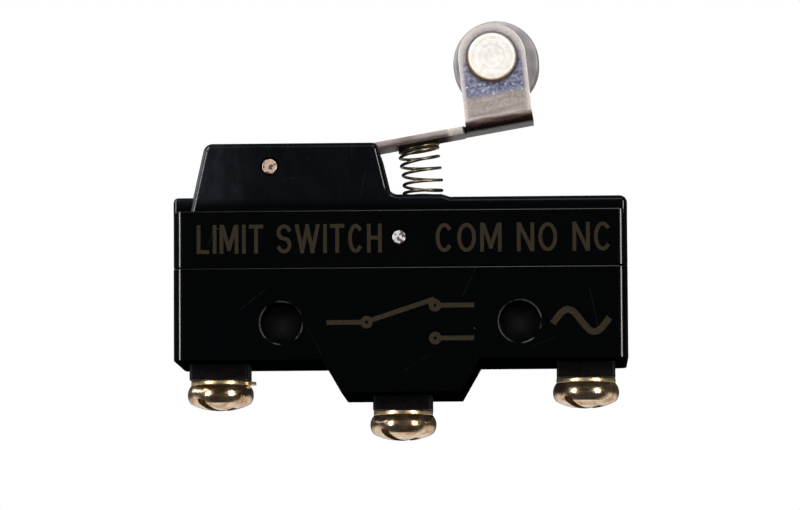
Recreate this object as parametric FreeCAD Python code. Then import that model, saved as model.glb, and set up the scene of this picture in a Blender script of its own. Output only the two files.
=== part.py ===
import FreeCAD, Part
import math
import os

# A basic snap-action limit switch with a short hinge roller lever, in millimetres.
# Frame: the origin is midway between the two mounting holes, at mid-thickness.
# +X runs along the body from the common terminal to the normally-closed terminal,
# +Y runs through the mounting holes to the back, and +Z points up to the roller.

# Body: a moulded lower case and a moulded cover that carries the lever
BODY_HALF_LENGTH = 24.2
CASE_HALF_DEPTH = 8.725
PANEL_HALF_DEPTH = 8.56
TOP_HALF_DEPTH = 8.38
SHOULDER_HALF_DEPTH = 8.05
CASE_BOTTOM_Z = -4.0
SPLIT_Z = 5.9
PANEL_TOP_Z = 12.03
BODY_TOP_Z = 13.42
FOOT_BOTTOM_Z = -7.5
FOOT_HALF_TOP = 8.3
FOOT_HALF_BOTTOM = 6.3
CORNER_R = 1.05
SOFT_EDGE_R = 0.15
WALL_INNER_HALF_LENGTH = 22.35
WALL_INNER_HALF_DEPTH = 6.75
CAVITY_FLOOR_Z = 3.4
CAVITY_CEILING_Z = 11.6
LIP_THICKNESS = 0.8
LIP_HEIGHT = 0.9
LIP_GAP = 0.06

# Mounting holes
HOLE_SPACING = 25.4
HOLE_R = 2.18
HOLE_CHAMFER = 0.18

# Hinge hump on the cover
HUMP_TOP_Z = 19.3
HUMP_OUTLINE_FOOT_X = -22.43
HUMP_LEFT_TOP_X = -20.8
HUMP_RIGHT_TOP_X = -2.4
HUMP_RIGHT_FOOT_X = -1.05
HUMP_RIM_R = 0.62
SLOT_LEFT_X = -17.4
SLOT_HALF_WIDTH = 3.0
SLOT_FLOOR_Z = 14.4
PAD_TOP_Z = 13.72
PAD_RIGHT_X = 4.45

# Lever: stamped sheet, drawn level (as when fully pressed) and then raised
PIVOT_X = -13.9
PIVOT_Z = 16.8
REST_ANGLE = 10.0
SHEET = 0.8
SHEET_RISE = 0.3
NECK_HALF_WIDTH = 2.75
EYE_OUTER_R = 1.675
HINGE_PIN_R = 0.825
RUNNING_GAP = 0.05
PIN_OUT = 25.518
PIN_UP = 7.853
LUG_LEFT = 21.38
LUG_RIGHT = 28.7
LUG_TOP_R = 3.65
LUG_INNER_HALF_GAP = 2.3
BEND_INNER_R = 0.3
NOTCH_DEPTH = 0.55

# Roller and its rivet
ROLLER_R = 4.64
ROLLER_HALF_WIDTH = 2.0
ROLLER_EDGE_R = 0.35
ROLLER_BORE_R = 1.95
ROLLER_PIN_R = 1.2
ROLLER_HANG_X = 0.44
ROLLER_HANG_Z = -0.55
PIN_HEAD_R = 2.6
PIN_HEAD_HEIGHT = 0.6
PIN_TAIL_R = 1.9
PIN_TAIL_HEIGHT = 0.4

# Return spring between the cover and the lever
SPRING_X = 2.26
SPRING_OUTER_R = 2.27
SPRING_WIRE = 0.33
SPRING_TOP_Z = 19.46
BOSS_R = 1.55
BOSS_HEIGHT = 0.7

# Plunger
PLUNGER_X = -9.5
PLUNGER_R = 1.6
PLUNGER_TRAVEL = 0.4486
PLUNGER_LEVER_GAP = 0.03
PLUNGER_FLANGE_R = 2.4
PLUNGER_FLANGE_Z = (10.7, 11.5)
PLUNGER_DOME_R = 3.2

# Snap blade and contacts
BLADE_LEFT_X = -17.95
BLADE_RIGHT_X = 8.6
BLADE_MID_Z = 7.0
BLADE_THICKNESS = 0.25
BLADE_HALF_WIDTH = 2.5
BLADE_TRAVEL_ANGLE = 1.15
PLUNGER_FOOT_HALF_WIDTH = 2.2
WINDOW_LEFT_X = -14.6
WINDOW_RIGHT_X = -4.0
WINDOW_HALF_WIDTH = 1.3
TONGUE_HALF_WIDTH = 1.0
TONGUE_LOWEST = (-8.4, 5.55)
TONGUE_TIP = (-13.3, 5.8)
CONTACT_X = 7.0
CONTACT_R = 1.3
CONTACT_HEIGHT = 0.5
CONTACT_SHANK_R = 0.7
CONTACT_GAP = 0.05

# Terminals: a threaded foot under the body, a neck and an arm inside it
SIDE_TERMINAL_X = 19.7
TERMINAL_HALF_LENGTH = 3.15
TERMINAL_HALF_DEPTH = 3.6
SIDE_TERMINAL_BOTTOM_Z = -5.65
CENTRE_TERMINAL_BOTTOM_Z = -9.0
TERMINAL_FOOT_HEIGHT = 4.75
TERMINAL_STRIP = 0.7
TERMINAL_HALF_WIDTH = 2.0
THREAD_HOLE_R = 2.0
THREAD_HOLE_DEPTH = 4.3
POCKET_GAP = 0.05
SIDE_NECK_X = (WALL_INNER_HALF_LENGTH - 0.1 - TERMINAL_STRIP, WALL_INNER_HALF_LENGTH - 0.1)
CENTRE_NECK_X = -2.85
COMMON_ARM_Z = 4.0
POST_TOP_Z = 7.9
ANCHOR_X = -13.1
ANCHOR_STAKE_R = 0.6
ANCHOR_TOP_Z = 6.6

# Terminal screws and tab washers, M4
SCREW_SHANK_R = 1.95
SCREW_LENGTH = 4.6
SCREW_HEAD_R = 3.57
SCREW_NECK_R = 3.2
SCREW_HEAD_HEIGHT = 2.65
SCREW_SLOT_WIDTH = 0.95
SCREW_SLOT_DEPTH = 1.15
CROSS_HALF_LENGTH = 2.0
SCREW_TURN = 55.0
SCREW_BULGE_DROP = 0.95
SCREW_CROWN = ((3.2, 1.95), (1.9, 2.47))
WASHER_THICKNESS = 0.5
WASHER_INNER_R = 2.15
WASHER_R = 3.2
WASHER_EDGE_R = 0.1
WASHER_TAB_REACH = 3.78
WASHER_TAB_HALF_WIDTH = 1.1
WASHER_TAB_SHEET = 0.3
WASHER_TURNS = {"common": 0.0, "normally_open": 90.0, "normally_closed": 90.0}

# Cover rivet
RIVET_X = -0.1
RIVET_Z = 9.1
RIVET_R = 0.75
RIVET_END_GAP = 0.06
TAB_HALF_LENGTH = 2.6
TAB_THICKNESS = 1.0
TAB_TOP_Z = 11.0

Y_AXIS = FreeCAD.Vector(0, 1, 0)
Z_AXIS = FreeCAD.Vector(0, 0, 1)


def vec(x, y, z):
    return FreeCAD.Vector(x, y, z)


def box(x0, x1, y0, y1, z0, z1):
    return Part.makeBox(x1 - x0, y1 - y0, z1 - z0, vec(x0, y0, z0))


def block(x0, x1, half_depth, z0, z1):
    """A box centred on the mid-plane."""
    return box(x0, x1, -half_depth, half_depth, z0, z1)


def pin_y(x, z, radius, y0, y1):
    return Part.makeCylinder(radius, y1 - y0, vec(x, y0, z), Y_AXIS)


def pin_z(x, radius, z0, z1):
    return Part.makeCylinder(radius, z1 - z0, vec(x, 0, z0), Z_AXIS)


def outline(corners):
    """A closed wire in the XZ plane. Each corner is (x, z, radius); a radius of 0 is a sharp corner."""
    count = len(corners)
    trims = []
    for i, (x, z, radius) in enumerate(corners):
        here = vec(x, 0, z)
        before = vec(corners[i - 1][0], 0, corners[i - 1][1])
        after = vec(corners[(i + 1) % count][0], 0, corners[(i + 1) % count][1])
        inward = (before - here).normalize()
        onward = (after - here).normalize()
        if radius == 0:
            trims.append((here, None, here))
            continue
        half = inward.getAngle(onward) / 2
        cut = radius / math.tan(half)
        centre = here + (inward + onward).normalize() * (radius / math.sin(half))
        middle = centre + (here - centre).normalize() * radius
        trims.append((here + inward * cut, middle, here + onward * cut))
    edges = []
    for i, (start, middle, end) in enumerate(trims):
        if middle is not None:
            edges.append(Part.Arc(start, middle, end).toShape())
        following = trims[(i + 1) % count][0]
        if (following - end).Length > 1e-6:
            edges.append(Part.LineSegment(end, following).toShape())
    return Part.Wire(Part.sortEdges(edges)[0])


def slab(corners, half_depth):
    """The outline carried through the depth of the part, centred on the mid-plane."""
    face = Part.Face(outline(corners))
    face.translate(vec(0, -half_depth, 0))
    return face.extrude(vec(0, 2 * half_depth, 0))


def soften(shape, radius, chosen):
    """Rounds the edges whose bounding box the test accepts."""
    edges = [edge for edge in shape.Edges if chosen(edge.BoundBox)]
    return shape.makeFillet(radius, edges)


def turned(points, x=0.0):
    """A solid of revolution about the vertical line through x. Each point is (radius, z)."""
    path = Part.makePolygon([vec(r, 0, z) for r, z in points] + [vec(points[0][0], 0, points[0][1])])
    solid = Part.Face(path).revolve(vec(0, 0, 0), Z_AXIS, 360)
    solid.translate(vec(x, 0, 0))
    return solid


def raised(shape):
    """Turns a piece drawn at the pressed position up to the free position."""
    turned_shape = shape.copy()
    turned_shape.rotate(vec(PIVOT_X, 0, PIVOT_Z), Y_AXIS, -REST_ANGLE)
    return turned_shape


def is_vertical(bound, height):
    """An edge of that height, standing up."""
    return bound.XLength < 1e-3 and bound.YLength < 1e-3 and abs(bound.ZLength - height) < 1e-3


def on_rim(bound, half_depth, floor_z):
    """An edge lying in the front or back face, above the floor."""
    flat = bound.YLength < 1e-3 and abs(abs(bound.YMin) - half_depth) < 1e-3
    return flat and bound.ZMax > floor_z + 1e-3


# Driven places along the press chain
lever_under_pressed_z = PIVOT_Z + SHEET_RISE
plunger_top_z = lever_under_pressed_z + PLUNGER_TRAVEL - PLUNGER_LEVER_GAP
blade_top_z = BLADE_MID_Z + BLADE_THICKNESS / 2
blade_under_z = BLADE_MID_Z - BLADE_THICKNESS / 2
blade_sine = math.sin(math.radians(BLADE_TRAVEL_ANGLE))
blade_drop_at_plunger = (PLUNGER_X - BLADE_LEFT_X) * blade_sine
plunger_foot_z = blade_top_z - blade_drop_at_plunger + PLUNGER_TRAVEL + CONTACT_GAP
contact_drop = (CONTACT_X - BLADE_LEFT_X) * blade_sine
closed_contact_z = blade_top_z + CONTACT_HEIGHT + CONTACT_GAP
open_contact_top_z = blade_under_z - CONTACT_HEIGHT - contact_drop - CONTACT_GAP
closed_arm_z = closed_contact_z + CONTACT_HEIGHT
open_arm_z = open_contact_top_z - CONTACT_HEIGHT - TERMINAL_STRIP

terminals = {
    "common": (-SIDE_TERMINAL_X, SIDE_TERMINAL_BOTTOM_Z),
    "normally_open": (0.0, CENTRE_TERMINAL_BOTTOM_Z),
    "normally_closed": (SIDE_TERMINAL_X, SIDE_TERMINAL_BOTTOM_Z),
}


def mounting_holes():
    """Both through holes with their chamfered mouths, as one cutting tool."""
    tools = []
    for side in (-1, 1):
        x = side * HOLE_SPACING / 2
        tools.append(pin_y(x, 0, HOLE_R, -CASE_HALF_DEPTH - 1, CASE_HALF_DEPTH + 1))
        for face in (-1, 1):
            tools.append(
                Part.makeCone(
                    HOLE_R + HOLE_CHAMFER,
                    HOLE_R,
                    HOLE_CHAMFER,
                    vec(x, face * CASE_HALF_DEPTH, 0),
                    vec(0, -face, 0),
                )
            )
    return tools


def terminal_pocket(x, bottom_z, neck_x0, neck_x1):
    """The room that a terminal's foot and neck take in the case."""
    foot_top = bottom_z + TERMINAL_FOOT_HEIGHT + POCKET_GAP
    reach = TERMINAL_HALF_LENGTH + POCKET_GAP
    foot = block(x - reach, x + reach, TERMINAL_HALF_DEPTH + POCKET_GAP, bottom_z - 5, foot_top)
    neck = block(
        neck_x0 - POCKET_GAP,
        neck_x1 + POCKET_GAP,
        TERMINAL_HALF_WIDTH + POCKET_GAP,
        foot_top - 0.2,
        CAVITY_FLOOR_Z + 0.2,
    )
    return foot.fuse(neck)


# The outer edge of a side terminal's neck stands just inside the case wall
neck_places = {
    "common": (-SIDE_NECK_X[1], -SIDE_NECK_X[0]),
    "normally_open": (CENTRE_NECK_X, CENTRE_NECK_X + TERMINAL_STRIP),
    "normally_closed": SIDE_NECK_X,
}


def lower_case():
    """The moulded case: a tub with the stepped foot of the centre terminal and two mounting holes."""
    half = BODY_HALF_LENGTH
    shell = slab(
        [
            (-half, SPLIT_Z, 0),
            (half, SPLIT_Z, 0),
            (half, CASE_BOTTOM_Z, 0),
            (FOOT_HALF_TOP, CASE_BOTTOM_Z, 0),
            (FOOT_HALF_BOTTOM, FOOT_BOTTOM_Z, 0),
            (-FOOT_HALF_BOTTOM, FOOT_BOTTOM_Z, 0),
            (-FOOT_HALF_TOP, CASE_BOTTOM_Z, 0),
            (-half, CASE_BOTTOM_Z, 0),
        ],
        CASE_HALF_DEPTH,
    )
    shell = soften(shell, CORNER_R, lambda b: is_vertical(b, SPLIT_Z - CASE_BOTTOM_Z))
    shell = soften(shell, SOFT_EDGE_R, lambda b: b.ZLength < 1e-3 and b.ZMin > SPLIT_Z - 1e-3)
    shell = soften(shell, SOFT_EDGE_R, lambda b: on_rim(b, CASE_HALF_DEPTH, FOOT_BOTTOM_Z - 1)
                   and b.ZMax < CASE_BOTTOM_Z + 0.1)

    inner_x, inner_y = WALL_INNER_HALF_LENGTH, WALL_INNER_HALF_DEPTH
    lip = block(
        -inner_x - LIP_THICKNESS,
        inner_x + LIP_THICKNESS,
        inner_y + LIP_THICKNESS,
        SPLIT_Z - 0.5,
        SPLIT_Z + LIP_HEIGHT,
    )
    shell = shell.fuse(lip)
    shell = shell.cut(block(-inner_x, inner_x, inner_y, CAVITY_FLOOR_Z, SPLIT_Z + 5))
    for face in (-1, 1):
        tab_y = sorted((face * inner_y, face * (inner_y - TAB_THICKNESS)))
        tab = box(
            -TAB_HALF_LENGTH,
            TAB_HALF_LENGTH,
            tab_y[0],
            tab_y[1],
            CAVITY_FLOOR_Z - 0.2,
            TAB_TOP_Z,
        )
        shell = shell.fuse(tab)
    shell = shell.cut(pin_y(RIVET_X, RIVET_Z, RIVET_R, -inner_y - 1, inner_y + 1))
    for name, (x, bottom_z) in terminals.items():
        shell = shell.cut(terminal_pocket(x, bottom_z, *neck_places[name]))
    for tool in mounting_holes():
        shell = shell.cut(tool)
    return shell.removeSplitter()


def cover_top():
    """The top of the cover: the hinge hump, the spring pad and the strip, as one profile with soft rims."""
    half = BODY_HALF_LENGTH
    top = slab(
        [
            (HUMP_OUTLINE_FOOT_X, PANEL_TOP_Z - 0.6, 0),
            (HUMP_OUTLINE_FOOT_X, PANEL_TOP_Z, 0),
            (HUMP_LEFT_TOP_X, HUMP_TOP_Z, 1.0),
            (HUMP_RIGHT_TOP_X, HUMP_TOP_Z, 0.8),
            (HUMP_RIGHT_FOOT_X, PAD_TOP_Z, 1.1),
            (PAD_RIGHT_X, PAD_TOP_Z, 0.5),
            (PAD_RIGHT_X + 0.9, BODY_TOP_Z, 0.5),
            (half, BODY_TOP_Z, 0.8),
            (half, PANEL_TOP_Z - 0.6, 0),
        ],
        TOP_HALF_DEPTH,
    )
    top = soften(top, HUMP_RIM_R, lambda b: on_rim(b, TOP_HALF_DEPTH, PANEL_TOP_Z - 0.5))
    shoulder = slab(
        [
            (-half, PANEL_TOP_Z - 0.6, 0),
            (-half, BODY_TOP_Z + 0.1, 0.5),
            (HUMP_OUTLINE_FOOT_X + 1.5, BODY_TOP_Z + 0.1, 0),
            (HUMP_OUTLINE_FOOT_X + 1.5, PANEL_TOP_Z - 0.6, 0),
        ],
        SHOULDER_HALF_DEPTH,
    )
    shoulder = soften(
        shoulder,
        0.4,
        lambda b: on_rim(b, SHOULDER_HALF_DEPTH, PANEL_TOP_Z - 0.5) and b.XMin < HUMP_OUTLINE_FOOT_X,
    )
    return top.fuse(shoulder)


def cover():
    """The moulded cover: label panel, strip and hinge hump, hollow inside, with the plunger guide."""
    half = BODY_HALF_LENGTH
    panel = block(-half, half, PANEL_HALF_DEPTH, SPLIT_Z, PANEL_TOP_Z)
    panel = soften(panel, CORNER_R, lambda b: is_vertical(b, PANEL_TOP_Z - SPLIT_Z))
    panel = soften(panel, SOFT_EDGE_R, lambda b: b.ZLength < 1e-3)
    shell = panel.fuse(cover_top())

    inner_x, inner_y = WALL_INNER_HALF_LENGTH, WALL_INNER_HALF_DEPTH
    rebate = LIP_THICKNESS + LIP_GAP
    rebate_top_z = SPLIT_Z + LIP_HEIGHT + LIP_GAP
    shell = shell.cut(block(-inner_x, inner_x, inner_y, SPLIT_Z - 1, CAVITY_CEILING_Z))
    shell = shell.cut(
        block(-inner_x - rebate, inner_x + rebate, inner_y + rebate, SPLIT_Z - 1, rebate_top_z)
    )
    slot = block(SLOT_LEFT_X, HUMP_RIGHT_FOOT_X + 0.7, SLOT_HALF_WIDTH, SLOT_FLOOR_Z, HUMP_TOP_Z + 1)
    slot = soften(slot, 0.5, lambda b: b.XMax < SLOT_LEFT_X + 1e-3 and b.ZLength > 1)
    shell = shell.cut(slot)
    shell = shell.cut(pin_z(PLUNGER_X, PLUNGER_R + RUNNING_GAP, CAVITY_CEILING_Z - 1, SLOT_FLOOR_Z + 1))
    reach = TOP_HALF_DEPTH + 1
    shell = shell.cut(pin_y(PIVOT_X, PIVOT_Z, HINGE_PIN_R, -reach, reach))
    for y0, y1 in ((-reach, -TOP_HALF_DEPTH + 0.9), (TOP_HALF_DEPTH - 0.9, reach)):
        shell = shell.cut(pin_y(PIVOT_X, PIVOT_Z, HINGE_PIN_R + 0.18, y0, y1))
    shell = shell.cut(pin_y(RIVET_X, RIVET_Z, RIVET_R, -reach, reach))
    post = turned(
        [(0, PAD_TOP_Z - 0.5), (BOSS_R, PAD_TOP_Z - 0.5), (BOSS_R, PAD_TOP_Z + 0.45),
         (BOSS_R - 0.25, PAD_TOP_Z + BOSS_HEIGHT), (0, PAD_TOP_Z + BOSS_HEIGHT)],
        SPRING_X,
    )
    return shell.fuse(post).removeSplitter()


def lever():
    """The stamped lever: a rolled hinge eye, a flat neck with a spring boss and two upturned lugs."""
    under = PIVOT_Z + SHEET_RISE
    upper = under + SHEET
    pin_x = PIVOT_X + PIN_OUT
    pin_top_z = PIVOT_Z + PIN_UP + LUG_TOP_R
    lug_right_x = PIVOT_X + LUG_RIGHT
    lug_left_x = PIVOT_X + LUG_LEFT
    plate = block(PIVOT_X + 0.2, lug_right_x, NECK_HALF_WIDTH, under, upper)
    eye = pin_y(PIVOT_X, PIVOT_Z, EYE_OUTER_R, -NECK_HALF_WIDTH, NECK_HALF_WIDTH)
    body = plate.fuse(eye)

    outer_y = LUG_INNER_HALF_GAP + SHEET
    outer_r = BEND_INNER_R + SHEET
    trough = slab_yz(lug_left_x, lug_right_x + 1, outer_y, outer_r, under, pin_top_z + 1)
    hollow = slab_yz(
        lug_left_x - 1, lug_right_x + 2, LUG_INNER_HALF_GAP, BEND_INNER_R, upper, pin_top_z + 3
    )
    pin_z_level = PIVOT_Z + PIN_UP
    side_view = slab(
        [
            (lug_left_x, under - 1, 0),
            (lug_left_x, upper + 0.5, 0),
            (pin_x - LUG_TOP_R, pin_z_level, 0),
            (pin_x - LUG_TOP_R, pin_top_z, LUG_TOP_R - 0.01),
            (pin_x + LUG_TOP_R, pin_top_z, LUG_TOP_R - 0.01),
            (pin_x + LUG_TOP_R, pin_z_level, 0),
            (lug_right_x, upper + 0.5, 0),
            (lug_right_x, under - 1, 0),
        ],
        outer_y + 1,
    )
    clevis = trough.cut(hollow).common(side_view)
    body = body.fuse(clevis)
    for face in (-1, 1):
        y0, y1 = sorted((face * (NECK_HALF_WIDTH - NOTCH_DEPTH), face * (outer_y + 1)))
        body = body.cut(box(lug_left_x - 0.45, lug_left_x + 0.35, y0, y1, upper - 0.12, upper + 1.05))
    dimple = turned(
        [(0, under + 0.2), (BOSS_R - 0.15, under + 0.2), (BOSS_R - 0.15, under - 0.35),
         (BOSS_R - 0.45, under - BOSS_HEIGHT), (0, under - BOSS_HEIGHT)],
        PIVOT_X + (SPRING_X - PIVOT_X) / math.cos(math.radians(REST_ANGLE)),
    )
    body = body.fuse(dimple)
    body = body.cut(pin_y(PIVOT_X, PIVOT_Z, HINGE_PIN_R + RUNNING_GAP, -5, 5))
    body = body.cut(pin_y(pin_x, pin_z_level, ROLLER_PIN_R, -5, 5))
    return raised(body.removeSplitter())


def slab_yz(x0, x1, half_width, radius, z0, z1):
    """A bar along X whose two lower long edges are rounded, like a sheet bent up on both sides."""
    bar = box(x0, x1, -half_width, half_width, z0, z1)
    return soften(bar, radius, lambda b: b.XLength > (x1 - x0) * 0.9 and b.ZMax < z0 + 1e-3)


def roller_pin_at_rest():
    """The centre of the roller's rivet when the lever is free."""
    reach = math.hypot(PIN_OUT, PIN_UP)
    angle = math.atan2(PIN_UP, PIN_OUT) + math.radians(REST_ANGLE)
    return PIVOT_X + reach * math.cos(angle), PIVOT_Z + reach * math.sin(angle)


def roller():
    """The plastic roller, with soft edges and a loose bore in which it hangs off its rivet's centre."""
    pin_x, pin_z_level = roller_pin_at_rest()
    x, z = pin_x + ROLLER_HANG_X, pin_z_level + ROLLER_HANG_Z
    wheel = pin_y(x, z, ROLLER_R, -ROLLER_HALF_WIDTH, ROLLER_HALF_WIDTH)
    wheel = wheel.makeFillet(ROLLER_EDGE_R, [e for e in wheel.Edges if e.BoundBox.YLength < 1e-3])
    return wheel.cut(pin_y(x, z, ROLLER_BORE_R, -5, 5))


def roller_pin():
    """The shouldered rivet through the lugs: a wide turned head in front and a peened tail behind."""
    x, z = roller_pin_at_rest()
    face = LUG_INNER_HALF_GAP + SHEET
    head = pin_y(x, z, PIN_HEAD_R, -face - PIN_HEAD_HEIGHT, -face)
    head = soften(head, 0.25, lambda b: b.YLength < 1e-3 and b.YMin < -face - PIN_HEAD_HEIGHT + 1e-3)
    tail = pin_y(x, z, PIN_TAIL_R, face, face + PIN_TAIL_HEIGHT)
    tail = soften(tail, 0.2, lambda b: b.YLength < 1e-3 and b.YMax > face + PIN_TAIL_HEIGHT - 1e-3)
    shank = pin_y(x, z, ROLLER_PIN_R, -face - 0.1, face + 0.1)
    return head.fuse(shank).fuse(tail).removeSplitter()


def hinge_pin():
    length = TOP_HALF_DEPTH - 0.2
    pin = pin_y(PIVOT_X, PIVOT_Z, HINGE_PIN_R, -length, length)
    return pin.makeFillet(0.12, [e for e in pin.Edges if e.BoundBox.YLength < 1e-3])


def return_spring():
    """The room of the coil spring at rest, as a tube."""
    outer = pin_z(SPRING_X, SPRING_OUTER_R, PAD_TOP_Z, SPRING_TOP_Z)
    return outer.cut(pin_z(SPRING_X, SPRING_OUTER_R - SPRING_WIRE, PAD_TOP_Z - 1, SPRING_TOP_Z + 1))


def plunger():
    """The sliding plunger: a domed pin, a flange that keeps it in and a bar that presses the blade."""
    dome_drop = PLUNGER_DOME_R - math.sqrt(PLUNGER_DOME_R**2 - PLUNGER_R**2)
    flange_low, flange_high = PLUNGER_FLANGE_Z
    stem = pin_z(PLUNGER_X, PLUNGER_R, flange_low, plunger_top_z + 1)
    ball = Part.makeSphere(PLUNGER_DOME_R, vec(PLUNGER_X, 0, plunger_top_z - PLUNGER_DOME_R))
    below = pin_z(PLUNGER_X, PLUNGER_R + 1, flange_low - 1, plunger_top_z - dome_drop)
    stem = stem.common(ball.fuse(below))
    flange = pin_z(PLUNGER_X, PLUNGER_FLANGE_R, flange_low, flange_high)
    foot = block(
        PLUNGER_X - 0.7, PLUNGER_X + 0.7, PLUNGER_FOOT_HALF_WIDTH, plunger_foot_z, flange_low + 0.1
    )
    foot = soften(foot, 0.3, lambda b: b.YLength > 4 and b.ZMax < plunger_foot_z + 1e-3)
    return stem.fuse(flange).fuse(foot).removeSplitter()


def terminal_foot(x, bottom_z):
    """The threaded block that the terminal screw is driven into."""
    foot = block(
        x - TERMINAL_HALF_LENGTH,
        x + TERMINAL_HALF_LENGTH,
        TERMINAL_HALF_DEPTH,
        bottom_z,
        bottom_z + TERMINAL_FOOT_HEIGHT,
    )
    foot = soften(foot, 0.3, lambda b: b.ZLength > 1)
    return foot.cut(pin_z(x, THREAD_HOLE_R, bottom_z - 1, bottom_z + THREAD_HOLE_DEPTH))


def terminal_strip(corners):
    return slab(corners, TERMINAL_HALF_WIDTH)


def common_terminal():
    """The common terminal: foot, neck, arm and the notched post that the blade hooks on."""
    x, bottom_z = terminals["common"]
    left, right = neck_places["common"]
    foot_top = bottom_z + TERMINAL_FOOT_HEIGHT
    arm_z = COMMON_ARM_Z
    arm_right = ANCHOR_X + 1.1
    post_right = BLADE_LEFT_X + 0.45
    strip = terminal_strip(
        [
            (left, foot_top - 0.2, 0),
            (left, arm_z + TERMINAL_STRIP, 0.4),
            (post_right - 1.5, arm_z + TERMINAL_STRIP, 0),
            (post_right - 1.5, POST_TOP_Z, 0.2),
            (post_right, POST_TOP_Z, 0.2),
            (post_right, BLADE_MID_Z + 0.6, 0),
            (post_right - 0.8, BLADE_MID_Z, 0),
            (post_right, BLADE_MID_Z - 0.6, 0),
            (post_right, arm_z + TERMINAL_STRIP, 0),
            (arm_right, arm_z + TERMINAL_STRIP, 0),
            (arm_right, arm_z, 0),
            (right, arm_z, 0),
            (right, foot_top - 0.2, 0),
        ]
    )
    stake_hole = pin_z(ANCHOR_X, ANCHOR_STAKE_R, arm_z - 1, arm_z + 2)
    return terminal_foot(x, bottom_z).fuse(strip).cut(stake_hole).removeSplitter()


def tongue_anchor():
    """The small stirrup that takes the push of the blade's tongue, staked to the common terminal's arm."""
    top_z = COMMON_ARM_Z + TERMINAL_STRIP
    back = ANCHOR_X - 1.1
    face = ANCHOR_X - 0.3
    toe = ANCHOR_X + 0.7
    stirrup = slab(
        [
            (back, top_z, 0),
            (back, ANCHOR_TOP_Z, 0.2),
            (face, ANCHOR_TOP_Z, 0.2),
            (face, top_z + 1.25, 0),
            (face - 0.25, top_z + 1.0, 0),
            (face, top_z + 0.75, 0),
            (toe, top_z + 0.5, 0),
            (toe, top_z, 0),
        ],
        2 * ANCHOR_STAKE_R,
    )
    stake = pin_z(ANCHOR_X, ANCHOR_STAKE_R, COMMON_ARM_Z, top_z + 0.1)
    return stirrup.fuse(stake).removeSplitter()


def normally_open_terminal():
    """The centre terminal: foot, neck and the arm that holds the lower fixed contact."""
    x, bottom_z = terminals["normally_open"]
    left, right = neck_places["normally_open"]
    foot_top = bottom_z + TERMINAL_FOOT_HEIGHT
    arm_right = CONTACT_X + CONTACT_R + 0.3
    strip = terminal_strip(
        [
            (left, foot_top - 0.2, 0),
            (left, open_arm_z + TERMINAL_STRIP, 0.4),
            (arm_right, open_arm_z + TERMINAL_STRIP, 0),
            (arm_right, open_arm_z, 0),
            (right, open_arm_z, 0),
            (right, foot_top - 0.2, 0),
        ]
    )
    hole = pin_z(CONTACT_X, CONTACT_SHANK_R, open_arm_z - 1, open_arm_z + 2)
    return terminal_foot(x, bottom_z).fuse(strip).cut(hole).removeSplitter()


def normally_closed_terminal():
    """The right terminal: foot, neck and the arm that holds the upper fixed contact."""
    x, bottom_z = terminals["normally_closed"]
    left, right = neck_places["normally_closed"]
    foot_top = bottom_z + TERMINAL_FOOT_HEIGHT
    arm_left = CONTACT_X - CONTACT_R - 0.3
    strip = terminal_strip(
        [
            (right, foot_top - 0.2, 0),
            (right, closed_arm_z + TERMINAL_STRIP, 0.4),
            (arm_left, closed_arm_z + TERMINAL_STRIP, 0),
            (arm_left, closed_arm_z, 0),
            (left, closed_arm_z, 0),
            (left, foot_top - 0.2, 0),
        ]
    )
    hole = pin_z(CONTACT_X, CONTACT_SHANK_R, closed_arm_z - 1, closed_arm_z + 2)
    return terminal_foot(x, bottom_z).fuse(strip).cut(hole).removeSplitter()


def contact_rivet(face_z, facing, arm_thickness):
    """A silver contact with its head on the arm and its shank through it; facing is +1 up or -1 down."""
    head_low, head_high = sorted((face_z, face_z - facing * CONTACT_HEIGHT))
    head = pin_z(CONTACT_X, CONTACT_R, head_low, head_high)
    shank_end = face_z - facing * (CONTACT_HEIGHT + arm_thickness)
    low, high = sorted((face_z - facing * CONTACT_HEIGHT * 0.5, shank_end))
    return head.fuse(pin_z(CONTACT_X, CONTACT_SHANK_R, low, high)).removeSplitter()


def moving_contact():
    """The double-faced contact riveted through the end of the blade."""
    upper = pin_z(CONTACT_X, CONTACT_R, blade_top_z, blade_top_z + CONTACT_HEIGHT)
    lower = pin_z(CONTACT_X, CONTACT_R, blade_under_z - CONTACT_HEIGHT, blade_under_z)
    shank = pin_z(CONTACT_X, CONTACT_SHANK_R, blade_under_z - 0.1, blade_top_z + 0.1)
    return upper.fuse(shank).fuse(lower).removeSplitter()


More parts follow.
